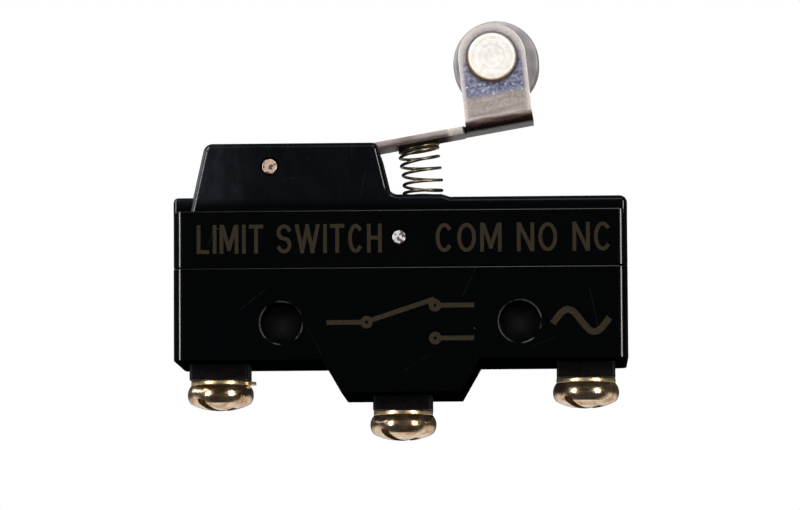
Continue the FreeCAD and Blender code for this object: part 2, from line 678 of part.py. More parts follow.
def snap_blade():
    """The beryllium-copper blade: two tension legs round a window, and the bowed tongue inside it."""
    plate = block(BLADE_LEFT_X, BLADE_RIGHT_X, BLADE_HALF_WIDTH, blade_under_z, blade_top_z)
    plate = soften(plate, 0.8, lambda b: b.ZLength > 0.2 and b.XLength < 1e-3 and b.XMin > 0)
    window = block(
        WINDOW_LEFT_X, WINDOW_RIGHT_X, WINDOW_HALF_WIDTH, blade_under_z - 1, blade_top_z + 1
    )
    plate = plate.cut(window)
    plate = plate.cut(pin_z(CONTACT_X, CONTACT_SHANK_R, blade_under_z - 1, blade_top_z + 1))
    knife_edge = pin_y(BLADE_LEFT_X, BLADE_MID_Z, BLADE_THICKNESS / 2, -BLADE_HALF_WIDTH, BLADE_HALF_WIDTH)
    plate = plate.fuse(knife_edge)
    right = vec(WINDOW_RIGHT_X + 0.1, -TONGUE_HALF_WIDTH, BLADE_MID_Z)
    middle = vec(TONGUE_LOWEST[0], -TONGUE_HALF_WIDTH, TONGUE_LOWEST[1])
    left = vec(TONGUE_TIP[0], -TONGUE_HALF_WIDTH, TONGUE_TIP[1])
    bow = Part.Circle(right, middle, left)
    centre = bow.Center
    inner = Part.makeCylinder(bow.Radius - 0.1, 2 * TONGUE_HALF_WIDTH, centre, Y_AXIS)
    outer = Part.makeCylinder(bow.Radius + 0.1, 2 * TONGUE_HALF_WIDTH, centre, Y_AXIS)
    reach = box(left.x, right.x, -TONGUE_HALF_WIDTH, TONGUE_HALF_WIDTH, middle.z - 0.5, blade_top_z)
    tongue = outer.cut(inner).common(reach)
    return plate.fuse(tongue).removeSplitter()


def terminal_screw(x, bottom_z):
    """A pan-head machine screw with a combined cross and slot, head down, in a terminal's foot."""
    seat = bottom_z - WASHER_THICKNESS
    low = seat - SCREW_HEAD_HEIGHT
    brow, crown = (vec(radius, 0, seat - drop) for radius, drop in SCREW_CROWN)
    bulge = Part.Arc(vec(SCREW_NECK_R, 0, seat), vec(SCREW_HEAD_R, 0, seat - SCREW_BULGE_DROP), brow)
    dome = Part.Arc(brow, crown, vec(0, 0, low))
    wire = Part.Wire(
        [
            Part.LineSegment(vec(0, 0, seat), vec(SCREW_NECK_R, 0, seat)).toShape(),
            bulge.toShape(),
            dome.toShape(),
            Part.LineSegment(vec(0, 0, low), vec(0, 0, seat)).toShape(),
        ]
    )
    head = Part.Face(wire).revolve(vec(0, 0, 0), Z_AXIS, 360)
    slot_top = low + SCREW_SLOT_DEPTH
    slot = block(-SCREW_HEAD_R - 1, SCREW_HEAD_R + 1, SCREW_SLOT_WIDTH / 2, low - 1, slot_top)
    slot.rotate(vec(0, 0, 0), Z_AXIS, SCREW_TURN)
    cross = block(-SCREW_SLOT_WIDTH / 2, SCREW_SLOT_WIDTH / 2, CROSS_HALF_LENGTH, low - 1, slot_top)
    cross.rotate(vec(0, 0, 0), Z_AXIS, SCREW_TURN)
    shank = pin_z(0, SCREW_SHANK_R, seat - 0.1, seat + SCREW_LENGTH)
    screw = head.cut(slot).cut(cross).fuse(shank).removeSplitter()
    screw.translate(vec(x, 0, 0))
    return screw


def tab_washer(x, bottom_z, turn):
    """A washer between the screw head and the terminal's foot, with one thin tab turned in degrees."""
    low = bottom_z - WASHER_THICKNESS
    disc = pin_z(0, WASHER_R, low, bottom_z)
    disc = disc.makeFillet(WASHER_EDGE_R, [e for e in disc.Edges if e.BoundBox.ZLength < 1e-3])
    middle_z = (low + bottom_z) / 2
    half_width, half_sheet = WASHER_TAB_HALF_WIDTH, WASHER_TAB_SHEET / 2
    tab = box(0, WASHER_TAB_REACH, -half_width, half_width, middle_z - half_sheet, middle_z + half_sheet)
    tab.rotate(vec(0, 0, 0), vec(0, 0, 1), turn)
    washer = disc.fuse(tab).cut(pin_z(0, WASHER_INNER_R, bottom_z - 2, bottom_z + 2))
    washer.translate(vec(x, 0, 0))
    return washer.removeSplitter()


def cover_rivet():
    length = PANEL_HALF_DEPTH - RIVET_END_GAP
    pin = pin_y(RIVET_X, RIVET_Z, RIVET_R, -length, length)
    return pin.makeFillet(0.15, [e for e in pin.Edges if e.BoundBox.YLength < 1e-3])


pieces = {
    "lower_case": lower_case(),
    "cover": cover(),
    "cover_rivet": cover_rivet(),
    "hinge_pin": hinge_pin(),
    "lever": lever(),
    "roller": roller(),
    "roller_pin": roller_pin(),
    "return_spring": return_spring(),
    "plunger": plunger(),
    "snap_blade": snap_blade(),
    "moving_contact": moving_contact(),
    "tongue_anchor": tongue_anchor(),
    "common_terminal": common_terminal(),
    "normally_open_terminal": normally_open_terminal(),
    "normally_closed_terminal": normally_closed_terminal(),
    "normally_open_contact": contact_rivet(open_contact_top_z, 1, TERMINAL_STRIP),
    "normally_closed_contact": contact_rivet(closed_contact_z, -1, TERMINAL_STRIP),
}
for name, (x, bottom_z) in terminals.items():
    pieces[name + "_screw"] = terminal_screw(x, bottom_z)
    pieces[name + "_washer"] = tab_washer(x, bottom_z, WASHER_TURNS[name])

os.makedirs("parts", exist_ok=True)
for name, shape in pieces.items():
    shape.exportStep("parts/" + name + ".step")
    print(name, "valid", shape.isValid(), "solids", len(shape.Solids), "volume", round(shape.Volume, 3))
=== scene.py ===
import math

import bmesh
import bpy
import numpy as np
from mathutils import Matrix, Vector


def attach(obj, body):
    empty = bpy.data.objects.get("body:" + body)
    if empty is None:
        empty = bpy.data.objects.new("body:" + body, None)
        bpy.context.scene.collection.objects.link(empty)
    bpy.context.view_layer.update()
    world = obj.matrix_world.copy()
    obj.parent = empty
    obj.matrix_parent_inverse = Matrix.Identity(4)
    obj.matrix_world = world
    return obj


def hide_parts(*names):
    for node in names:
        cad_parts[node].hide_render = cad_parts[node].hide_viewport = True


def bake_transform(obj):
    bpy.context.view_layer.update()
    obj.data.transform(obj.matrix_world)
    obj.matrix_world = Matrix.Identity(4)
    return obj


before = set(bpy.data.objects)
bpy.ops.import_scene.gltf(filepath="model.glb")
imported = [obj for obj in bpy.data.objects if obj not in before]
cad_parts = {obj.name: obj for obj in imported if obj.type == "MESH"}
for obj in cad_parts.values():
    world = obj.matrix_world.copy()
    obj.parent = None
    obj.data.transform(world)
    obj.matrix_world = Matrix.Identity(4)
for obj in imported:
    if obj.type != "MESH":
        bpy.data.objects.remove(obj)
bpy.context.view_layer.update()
mm = 0.001

# ---------------------------------------------------------------- studio
# A long lens a little below the switch looks up at its front. The room is white behind the
# switch and pale below it, and dark in front and above, with five soft lamps.
camera_place = (16.92 * mm, -548.9 * mm, -40.65 * mm)
camera_pitch, camera_yaw, camera_roll = 0.0882, -0.0313, -0.0058
camera_lens = 229.5
room_high, room_low, room_front, room_overhead = 0.04, 0.80, 0.010, 0.25
floor_height, floor_half = -100.0, 3000.0
switch_middle = (0.0, 0.0, 0.01)

ahead = np.array([
    math.sin(camera_yaw) * math.cos(camera_pitch),
    math.cos(camera_yaw) * math.cos(camera_pitch),
    math.sin(camera_pitch),
])
level = np.array([math.cos(camera_yaw), -math.sin(camera_yaw), 0.0])
upright = np.cross(level, ahead)
across = math.cos(camera_roll) * level + math.sin(camera_roll) * upright
upward = math.cos(camera_roll) * upright - math.sin(camera_roll) * level
camera = bpy.data.objects.new("camera", bpy.data.cameras.new("camera"))
placing = np.eye(4)
placing[:3] = np.stack([across, upward, -ahead, camera_place], -1)
camera.matrix_world = Matrix(placing.tolist())
camera.data.lens = camera_lens
camera.data.sensor_width = 36.0
camera.data.clip_start, camera.data.clip_end = 0.01, 50.0
bpy.context.scene.collection.objects.link(camera)
bpy.context.scene.camera = camera
bpy.context.scene.view_settings.view_transform = "Standard"


def softbox(name, place, width, height, power, tint=(1.0, 1.0, 1.0)):
    """A soft lamp at place, width by height, that faces the middle of the switch."""
    lamp = bpy.data.objects.new(name, bpy.data.lights.new(name, "AREA"))
    lamp.data.shape, lamp.data.size, lamp.data.size_y = "RECTANGLE", width, height
    lamp.data.energy, lamp.data.color = power, tint
    lamp.location = place
    facing = np.array(switch_middle) - np.array(place)
    lamp.rotation_mode = "QUATERNION"
    lamp.rotation_quaternion = Vector(facing).to_track_quat("-Z", "Y")
    lamp.visible_camera = False
    bpy.context.scene.collection.objects.link(lamp)


softbox("lamp_left", (-0.64, -0.70, 0.08), 0.11, 0.45, 5.0)
softbox("lamp_right", (0.62, -0.72, 0.08), 0.16, 0.50, 5.5, (1.0, 0.95, 0.90))
softbox("lamp_top", (0.15, -0.62, 0.70), 0.40, 0.30, 3.5)
softbox("lamp_corner", (-0.58, -0.50, 0.62), 0.40, 0.40, 6.0)
softbox("lamp_window", (-0.95, 0.02, 0.34), 1.00, 0.22, 2.2, (0.90, 0.95, 1.0))


class Wire:
    """A socket of a material's nodes. Arithmetic on it adds Math nodes to the same material."""

    def __init__(self, tree, socket):
        self.tree, self.socket = tree, socket

    def node(self, kind, settings=None, sockets=None, out=0):
        """Adds a node of this kind: first its settings, then its sockets' values or links."""
        made = self.tree.nodes.new("ShaderNode" + kind)
        for name, value in (settings or {}).items():
            if name == "stops":
                while len(made.color_ramp.elements) < len(value):
                    made.color_ramp.elements.new(0.5)
                for element, (position, colour) in zip(made.color_ramp.elements, value):
                    element.position, element.color = position, (*colour, 1.0)
            else:
                setattr(made, name, value)
        for name, value in (sockets or {}).items():
            if isinstance(value, Wire):
                self.tree.links.new(value.socket, made.inputs[name])
            else:
                made.inputs[name].default_value = value
        return Wire(self.tree, made.outputs[out])

    def maths(self, operation, *terms):
        """A Math node on these terms, wires or numbers."""
        return self.node("Math", {"operation": operation}, dict(enumerate(terms)))

    def __add__(self, other):
        return self.maths("ADD", self, other)

    def __radd__(self, other):
        return self.maths("ADD", other, self)

    def __sub__(self, other):
        return self.maths("SUBTRACT", self, other)

    def __rsub__(self, other):
        return self.maths("SUBTRACT", other, self)

    def __mul__(self, other):
        return self.maths("MULTIPLY", self, other)

    def __pow__(self, other):
        return self.maths("POWER", self, other)

    def __lt__(self, other):
        return self.maths("LESS_THAN", self, other)

    def __abs__(self):
        return self.maths("ABSOLUTE", self)


def fade(value, low, high):
    """0 below low, 1 above high, and a smooth rise between them."""
    return value.node(
        "MapRange",
        {"interpolation_type": "SMOOTHSTEP"},
        {"Value": value, "From Min": low, "From Max": high},
    )


def coordinate(vector, number):
    """One coordinate of a vector: 0 is x, 1 is y and 2 is z."""
    return vector.node("SeparateXYZ", {}, {0: vector}, out=number)


world = bpy.data.worlds.new("room")
world.use_nodes = True
bpy.context.scene.world = world
world.node_tree.nodes.clear()
looking = Wire(world.node_tree, None).node("TexCoord")
depthwise, upwards = coordinate(looking, 1), coordinate(looking, 2)
seen_directly = looking.node("LightPath")
room_side = fade(0 - upwards, 0.0, 0.3) * (room_low - room_high) + room_high
brightness = fade(depthwise, -0.30, 0.20) * room_side + room_front
brightness = brightness + fade(upwards, 0.70, 0.95) * room_overhead
brightness = looking.maths("MAXIMUM", brightness, seen_directly)
room = looking.node("Background", {}, {"Color": (1.0, 1.0, 1.0, 1.0), "Strength": brightness})
world_output = world.node_tree.nodes.new("ShaderNodeOutputWorld")
world.node_tree.links.new(room.socket, world_output.inputs["Surface"])


def piece(name, points, faces, smooth=True):
    """A mesh object at the origin from points in millimetres and faces of point numbers."""
    mesh = bpy.data.meshes.new(name)
    mesh.from_pydata((np.asarray(points, float) * mm).tolist(), [], [list(map(int, f)) for f in faces])
    mesh.polygons.foreach_set("use_smooth", [smooth] * len(mesh.polygons))
    mesh.update()
    made = bpy.data.objects.new(name, mesh)
    bpy.context.scene.collection.objects.link(made)
    return made


def sheet_faces(rows, columns, around=False, offset=0):
    """Four-sided faces over a grid of rows by columns; around joins the last column to the first."""
    r, c = np.meshgrid(np.arange(rows - 1), np.arange(columns if around else columns - 1), indexing="ij")
    low, high, following = r * columns, (r + 1) * columns, (c + 1) % columns
    corners = [low + c, low + following, high + following, high + c]
    return np.stack(corners, -1).reshape(-1, 4) + offset


floor = piece(
    "floor",
    [(x * floor_half, y * floor_half, floor_height) for x, y in ((-1, -1), (1, -1), (1, 1), (-1, 1))],
    [(0, 1, 2, 3)],
    smooth=False,
)
floor.visible_glossy = floor.visible_diffuse = False


def finish(name):
    """A new material. Gives it with its Object coordinates, as the first wire of its pattern."""
    made = bpy.data.materials.new(name)
    made.use_nodes = True
    made.node_tree.nodes.clear()
    return made, Wire(made.node_tree, None).node("TexCoord", out=3)


def ended(material, surface):
    """Links the last shader to the material's output."""
    output = material.node_tree.nodes.new("ShaderNodeOutputMaterial")
    material.node_tree.links.new(surface.socket, output.inputs["Surface"])
    return material


def bumps(height, depth):
    """A bump whose height of 1 stands depth millimetres high."""
    return height.node("Bump", {}, {"Height": height, "Distance": depth * mm, "Strength": 1.0})


def shaded(material, start, metallic, roughness, colour, bump=None, bump_depth=0.0, **even):
    """Closes a material with one Principled shader; bump_depth is in millimetres."""
    sockets = {"Base Color": colour, "Metallic": metallic, "Roughness": roughness, **even}
    if bump is not None:
        sockets["Normal"] = bumps(bump, bump_depth)
    return ended(material, start.node("BsdfPrincipled", {}, sockets))


def mixed(mask, first, second):
    """The first colour where the mask is 0 and the second where it is 1."""
    first, second = ((*c, 1.0) if isinstance(c, tuple) else c for c in (first, second))
    return mask.node("Mix", {"data_type": "RGBA"}, {0: mask, 6: first, 7: second}, out=2)


def grain(start, size, detail=3.0, stretch=(1.0, 1.0, 1.0)):
    """Noise from 0 to 1 whose patches are about size millimetres across, longer where stretch is small."""
    moved = start.node("Mapping", {}, {"Vector": start, "Scale": stretch})
    return start.node("TexNoise", {}, {"Vector": moved, "Scale": 1.0 / (size * mm), "Detail": detail})


floor_paint, spot = finish("floor_paint")
floor.data.materials.append(shaded(
    floor_paint, spot, 0.0, 0.9,
    mixed(grain(spot, 400.0), (0.80, 0.80, 0.80), (0.84, 0.84, 0.84)),
    **{"Emission Color": (0.9, 0.9, 0.9, 1.0), "Emission Strength": 0.75},
))

# ---------------------------------------------------------------- moulded case and cover
# The case and its cover are compression-moulded black phenolic. The body came off a polished
# mould, and the hinge hump, the upper edges and the undersides are duller. Both pieces carry
# dust and the fine scratches of handling; a pale ring round each mounting hole is a painted
# highlight, and the hump's haze is painted paler towards its outer end as painted light.
phenolic_black, phenolic_dull = (0.0007, 0.0009, 0.0011), (0.0011, 0.0015, 0.0022)
# the tone of the hump's haze, partly painted light
phenolic_haze_and_light = (0.0095, 0.0107, 0.0143)
dust_grey, scratch_grey, rim_highlight_grey = (0.060, 0.066, 0.078), (0.010, 0.012, 0.015), (0.070, 0.076, 0.085)
hump_base, top_edges = 12.3, 12.9
hole_out, hole_rim = 12.7, 2.29
phenolic_gloss = {"lower_case": 0.13, "cover": 0.14}
# each scratch: x and z of its middle, its slope in degrees, its length, its width
scratch_list = [
    (-5.1, 18.4, 84.0, 1.7, 0.030), (-3.9, 14.9, 78.0, 3.4, 0.026), (-12.1, 15.4, 12.0, 2.2, 0.020),
    (-15.6, 2.6, 38.0, 5.0, 0.024), (-9.2, -1.9, 118.0, 4.2, 0.022), (7.4, 4.3, 64.0, 4.8, 0.024),
    (20.6, 1.2, 102.0, 6.2, 0.022), (1.6, -4.4, 31.0, 3.8, 0.020), (-20.2, 9.1, 71.0, 2.6, 0.022),
    (15.2, -2.2, 22.0, 3.2, 0.018),
]


def specks(start, spacing, radius, share):
    """Round specks about spacing apart and radius across, in millimetres, on a share of the places."""
    cell = {"Vector": start, "Scale": 1.0 / (spacing * mm)}
    near = start.node("TexVoronoi", {}, cell)
    chance = start.node("SeparateColor", {}, {0: start.node("TexVoronoi", {}, cell, out=1)})
    return (1 - fade(near, radius / spacing * 0.6, radius / spacing)) * (chance < share)


def scratches(x, z, wobble):
    """Hair-thin straight marks: nearer to a mark's line than half its width, and within its length."""
    marks = None
    for middle_x, middle_z, slope, length, width in scratch_list:
        c, s = math.cos(math.radians(slope)), math.sin(math.radians(slope))
        off = abs(z * c - x * s + wobble + (middle_x * s - middle_z * c) * mm)
        along_mark = abs(x * c + z * s - (middle_x * c + middle_z * s) * mm)
        ends = 1 - fade(along_mark, 0.3 * length * mm, 0.5 * length * mm)
        mark = (1 - fade(off, 0.0, width * mm)) * ends
        marks = mark if marks is None else marks + mark
    return marks


def layered(material, mask, first, second):
    """Closes a material with two Principled shaders: first where the mask is 0, second where it is 1."""
    shaders = [mask.node("BsdfPrincipled", {}, sockets) for sockets in (first, second)]
    return ended(material, mask.node("MixShader", {}, {0: mask, 1: shaders[0], 2: shaders[1]}))


def from_hole(start):
    """The distance in metres from the middle line of the nearer mounting hole."""
    beside, above = abs(coordinate(start, 0)) - hole_out * mm, coordinate(start, 2)
    return (beside * beside + above * above) ** 0.5


def phenolic(name, gloss):
    """Black moulding compound, polished or matt."""
    material, spot = finish(name)
    x, height = coordinate(spot, 0), coordinate(spot, 2)
    normal = spot.node("TexCoord", out=1)
    sideways, facing_up = abs(coordinate(normal, 0)), coordinate(normal, 2)
    on_hump = fade(height, hump_base * mm, (hump_base + 1.2) * mm)

    # the hump is hazy, rougher and paler towards its outer end, where the paler haze is painted light
    haze_and_painted_light_end = fade(0 - x, 14.0 * mm, 21.0 * mm) * 0.7 + 0.2
    haze_and_painted_light = fade(grain(spot, 1.0, 5.0, stretch=(1.0, 1.0, 0.5)), 0.40, 0.66) * on_hump
    haze_and_painted_light = (haze_and_painted_light * 0.5 + 0.5) * haze_and_painted_light_end * on_hump
    wobble = (grain(spot, 3.0) - 0.5) * (0.12 * mm)
    handled = scratches(x, height, wobble) * fade(grain(spot, 0.8), 0.32, 0.5)
    dust = specks(spot, 1.3, 0.07, 0.07) + specks(spot, 0.7, 0.04, 0.10) * (on_hump * 0.7 + 0.1)
    # painted highlight: a pale ring on the rim of each mounting hole, in place of a lit chamfer
    rim_highlight = 1 - fade(abs(from_hole(spot) - hole_rim * mm), 0.02 * mm, 0.09 * mm)
    rim_highlight = rim_highlight * fade(grain(spot, 1.8), 0.42, 0.56)
    colour = mixed(on_hump, phenolic_black, phenolic_dull)
    for mask, tone in (
        (haze_and_painted_light, phenolic_haze_and_light), (handled, scratch_grey), (dust, dust_grey), (rim_highlight, rim_highlight_grey),
    ):
        colour = mixed(mask, colour, tone)

    # the tops are less polished than the sides, and the long upper edges and undersides are matt
    rough = gloss + on_hump * haze_and_painted_light_end * 0.08 + grain(spot, 5.0) * 0.04 + dust * 0.4 + handled * 0.2
    rough = rough + fade(facing_up, 0.7, 0.95) * 0.25
    top_edge = fade(facing_up, 0.12, 0.25) * (1 - fade(facing_up, 0.90, 0.98))
    top_edge = top_edge * (1 - fade(sideways, 0.1, 0.3))
    top_edge = top_edge * fade(height, top_edges * mm, (top_edges + 0.1) * mm)
    matt_places = fade(0 - facing_up, 0.15, 0.45) + top_edge * 0.85
    dimples = bumps(grain(spot, 0.25, 2.0) + handled * -0.6, 0.0015)
    return layered(
        material, matt_places,
        {"Base Color": colour, "Roughness": rough, "Specular IOR Level": 0.34, "Normal": dimples},
        {"Base Color": colour, "Roughness": 0.9, "Specular IOR Level": 0.0},
    )


def dress(node, material):
    """Gives a CAD node this material instead of its plain one."""
    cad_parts[node].data.materials.clear()
    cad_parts[node].data.materials.append(material)


for node, gloss in phenolic_gloss.items():
    dress(node, phenolic(node + "_phenolic", gloss))

# ---------------------------------------------------------------- printed marks
# The marks are stamped in tan ink on the front: the kind of switch and its terminals on the
# cover, and on the case the sign of a changeover contact and of alternating current.
ink_tan, ink_worn = (0.0175, 0.0118, 0.0044), (0.008, 0.0056, 0.0022)
cover_face, case_face = -8.56, -8.725
ink_height, ink_root, ink_lap, ink_laps = 0.012, 0.004, 0.002, 5
letter_foot, letter_height, letter_line, letter_gap = 7.44, 3.09, 0.40, 0.46

ink, spot = finish("tan_ink")
worn = fade(grain(spot, 0.18, 4.0), 0.30, 0.52)
ink = shaded(
    ink, spot, 0.0, 0.7, mixed(worn, ink_worn, ink_tan), grain(spot, 0.1), 0.003,
    **{"Specular IOR Level": 0.15},
)


def oval(middle_u, middle_v, radius_u, radius_v, start, end, count=25):
    """Points of an ellipse from one angle to another, in degrees."""
    angle = np.radians(np.linspace(start, end, count))
    return np.stack([middle_u + radius_u * np.cos(angle), middle_v + radius_v * np.sin(angle)], -1)


def face_outwards(made, weld=0.0):
    """Turns a closed mesh's faces outwards, once points within weld millimetres are merged."""
    mesh = bmesh.new()
    mesh.from_mesh(made.data)
    if weld:
        bmesh.ops.remove_doubles(mesh, verts=mesh.verts, dist=weld * mm)
        bmesh.ops.dissolve_degenerate(mesh, edges=mesh.edges, dist=weld * mm)
    bmesh.ops.recalc_face_normals(mesh, faces=mesh.faces)
    mesh.to_mesh(made.data)
    mesh.free()


def stamped(name, lines, width, face):
    """Lines of ink as one piece. A flat bar's section, width by the ink's height, is carried along
    each path of (x, z) points; an open path's square ends stand out by half the width. Lines that
    cross lie over each other, each a little higher than the one before."""
    points, faces, count = [], [], 0
    for number, path in enumerate(lines):
        front = -ink_height - ink_lap * (number % ink_laps)
        path = np.asarray(path, float)
        closed = np.allclose(path[0], path[-1])
        along = np.gradient(path[:-1] if closed else path, axis=0)
        if closed:
            path = path[:-1]
            along = np.roll(path, -1, 0) - np.roll(path, 1, 0)
        along /= np.linalg.norm(along, axis=1)[:, None]
        if not closed:
            path = path.copy()
            path[0] -= along[0] * width / 2
            path[-1] += along[-1] * width / 2
        side = np.stack([-along[:, 1], along[:, 0]], -1) * width / 2
        section = []
        for shift, y in ((-1, front), (1, front), (1, ink_root), (-1, ink_root)):
            section.append(np.insert(path + shift * side, 1, face + y, axis=1))
        ring = np.stack(section, 1)
        rows = len(path)
        points.append(ring.reshape(-1, 3))
        faces += sheet_faces(rows, 4, around=True, offset=count).tolist()
        first, last = count + np.arange(4), count + (rows - 1) * 4 + np.arange(4)
        if closed:
            faces += [[last[i], last[(i + 1) % 4], first[(i + 1) % 4], first[i]] for i in range(4)]
        else:
            faces += [first[::-1].tolist(), last.tolist()]
        count += rows * 4
    made = piece(name, np.concatenate(points), faces, False)
    face_outwards(made)
    made.data.materials.append(ink)
    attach(made, "case")


# each letter: its width, and its lines in shares of its width and height
letters = {
    "L": (1.55, [[(0, 1), (0, 0)], [(0, 0), (1, 0)]]),
    "I": (letter_line, [[(0, 0), (0, 1)]]),
    "M": (2.35, [
        [(0, 0), (0, 1)], [(1, 0), (1, 1)], [(0.10, 0.96), (0.5, 0.12)], [(0.90, 0.96), (0.5, 0.12)],
    ]),
    "T": (1.80, [[(0, 1), (1, 1)], [(0.5, 0), (0.5, 1)]]),
    "S": (1.85, [np.concatenate([
        oval(0.5, 0.755, 0.5, 0.245, 25, 262), oval(0.5, 0.255, 0.5, 0.255, 82, -155),
    ])]),
    "W": (3.05, [[(0, 1), (0.25, 0)], [(0.25, 0), (0.5, 1)], [(0.5, 1), (0.75, 0)], [(0.75, 0), (1, 1)]]),
    "C": (1.90, [oval(0.5, 0.5, 0.5, 0.5, 48, 312)]),
    "H": (1.85, [[(0, 0), (0, 1)], [(1, 0), (1, 1)], [(0, 0.52), (1, 0.52)]]),
    "O": (2.05, [oval(0.5, 0.5, 0.5, 0.5, 0, 360, 41)]),
    "N": (1.90, [[(0, 0), (0, 1)], [(1, 0), (1, 1)], [(0.06, 1), (0.94, 0)]]),
    " ": (0.75, []),
}


def lettering(name, words, left, right):
    """Block letters set side by side between left and right."""
    natural = sum(letters[letter][0] for letter in words) + letter_gap * (len(words) - 1)
    fit = (right - left) / natural
    lines, place = [], left
    for letter in words:
        width, strokes = letters[letter]
        for path in strokes:
            share = np.asarray(path, float)
            lines.append(np.stack([
                place + letter_line / 2 + share[:, 0] * (width * fit - letter_line),
                letter_foot + letter_line / 2 + share[:, 1] * (letter_height - letter_line),
            ], -1))
        place += (width + letter_gap) * fit
    stamped(name, lines, letter_line, cover_face)


sign_line, wave_line, ring_radius = 0.5, 0.7, 0.42
lettering("kind_lettering", "LIMIT SWITCH", -21.67, -1.93)
lettering("terminal_lettering", "COM NO NC", 3.81, 22.5)
stamped("changeover_sign", [
    [(-7.6, 0.0), (-4.3, 0.0)],
    [(-3.0, 0.25), (3.4, 2.35)],
    [(4.4, 1.75), (7.6, 1.75)],
    [(4.4, -1.75), (7.6, -1.75)],
    *(oval(x, z, ring_radius, ring_radius, 0, 360) for x, z in ((-3.6, 0.0), (3.7, 1.75), (3.7, -1.75))),
], sign_line, case_face)
wave = np.linspace(0, 1, 33)
wave_left, wave_length, wave_height = 16.4, 5.6, 1.2
stamped("alternating_sign", [
    np.stack([wave_left + wave_length * wave, wave_height * np.sin(2 * np.pi * wave)], -1),
], wave_line, case_face)

# ---------------------------------------------------------------- pins of the body
# The cover rivet and the hinge pin are cut from bright steel wire. Their ends show in the front
# of the cover, with fine marks from the shears.


def wire_steel(name, colour):
    """Cut wire: bright, with fine marks from the shears."""
    material, spot = finish(name)
    pitted = grain(spot, 0.45, 4.0)
    return shaded(
        material, spot, 0.55, 0.30 + pitted * 0.25,
        mixed(fade(pitted, 0.47, 0.56), colour, (0.10, 0.075, 0.06)), pitted, 0.04,
    )


for node, colour in (("cover_rivet", (0.72, 0.72, 0.76)), ("hinge_pin", (0.62, 0.45, 0.36))):
    dress(node, wire_steel(node + "_steel", colour))

# ---------------------------------------------------------------- lever
# The lever is stamped from stainless sheet: a rolled eye on the hinge pin, a flat neck, and two
# lugs bent up beside the roller, with a relief notch cut where each bend starts.
pivot_x, pivot_z, lever_angle = -13.9, 16.8, math.radians(10)
sheet, sheet_rise = 0.8, 0.3
neck_half, flat_half, bend_radius, lug_y = 2.75, 2.0, 0.7, 2.7
lug_left, lug_right, lug_foot, lug_round, crown_end = 21.38, 28.7, 1.2, 3.65, 86.0
pin_out, pin_up = 25.518, 7.853
notch, notch_sweep = 0.14, 0.25
eye_radius, eye_turn, dip_out = 1.275, 200.0, 2.6
spring_out, neck_from_rim = 16.6, 9.0


def raised(points):
    """From the lever's own (out, across, up) to the switch: turned up by the free angle about the pivot."""
    out, across_, up = np.moveaxis(np.asarray(points, float), -1, 0)
    c, s = math.cos(lever_angle), math.sin(lever_angle)
    return np.stack([pivot_x + out * c - up * s, across_, pivot_z + out * s + up * c], -1)


# the two lugs and the flat between them: a section across the lever, carried from its left edge
# to its right edge, which taper up the lugs and end in a round crown
middle_up = sheet_rise + sheet / 2
quarter = np.linspace(0, np.pi / 2, 11)
lug_heights = np.concatenate([
    np.linspace(middle_up + bend_radius, pin_up, 16)[1:],
    pin_up + lug_round * np.sin(np.linspace(0, math.radians(crown_end), 20)[1:]),
])
flat = np.linspace(0, flat_half, 9)
half_y = np.concatenate([
    flat, flat_half + bend_radius * np.sin(quarter[1:]), np.full(len(lug_heights), lug_y),
])
half_up = np.concatenate([
    np.full(len(flat), middle_up), middle_up + bend_radius * (1 - np.cos(quarter[1:])), lug_heights,
])
rise = np.clip((half_up - lug_foot) / (pin_up - lug_foot), 0, 1)
crown = np.sqrt(np.clip(lug_round**2 - np.clip(half_up - pin_up, 0, None) ** 2, 0, None))
taper_left = lug_left + (pin_out - lug_round - lug_left) * rise
taper_right = lug_right + (pin_out + lug_round - lug_right) * rise
edge_left = np.where(half_up <= pin_up, taper_left, pin_out - crown)
edge_right = np.where(half_up <= pin_up, taper_right, pin_out + crown)
profile_y = np.concatenate([-half_y[:0:-1], half_y])
profile_up = np.concatenate([half_up[:0:-1], half_up])
profile_left = np.concatenate([edge_left[:0:-1], edge_left])
profile_right = np.concatenate([edge_right[:0:-1], edge_right])
steps = np.linspace(0, 1, 29)
clevis = np.stack([
    profile_left[:, None] + (profile_right - profile_left)[:, None] * steps,
    np.repeat(profile_y[:, None], len(steps), 1),
    np.repeat(profile_up[:, None], len(steps), 1),
], -1)

# the neck and the rolled eye: the sheet's middle line, an arc about the pivot and a smooth dip,
# carried across; a strip at each side is cut short to leave the notch before the lug
curl = np.linspace(math.radians(-eye_turn), 0, 25)
dip = np.linspace(0, 1, 12)[1:]
dip_up = eye_radius + (middle_up - eye_radius) * (3 * dip**2 - 2 * dip**3)
straight = np.linspace(dip_out, lug_left, 30)[1:]
neck_out = np.concatenate([eye_radius * np.sin(curl), dip_out * dip, straight])
neck_up = np.concatenate([eye_radius * np.cos(curl), dip_up, np.full(len(straight), middle_up)])
neck_y = np.concatenate([-flat[:0:-1], flat])
neck = np.stack([
    np.repeat(neck_out[None, :], len(neck_y), 0),
    np.repeat(neck_y[:, None], len(neck_out), 1),
    np.repeat(neck_up[None, :], len(neck_y), 0),
], -1)
side_rows = np.linspace(flat_half, neck_half, 5)
shoulder = lug_left - notch - notch_sweep * ((side_rows - flat_half) / (neck_half - flat_half)) ** 2
strips = [np.stack([
    np.minimum(neck_out[None, :], shoulder[:, None]),
    np.repeat(side * side_rows[:, None], len(neck_out), 1),
    np.repeat(neck_up[None, :], len(side_rows), 0),
], -1) for side in (-1, 1)]

points, faces, count = [], [], 0
for grid, flip in ((clevis, False), (neck, False), (strips[0], True), (strips[1], False)):
    rows, columns = grid.shape[:2]
    cells = sheet_faces(rows, columns, offset=count)
    faces.append(cells if flip else cells[:, ::-1])
    points.append(grid.reshape(-1, 3))
    count += rows * columns
level_points = np.concatenate(points)
lever = piece("stamped_lever", raised(level_points), np.concatenate(faces))

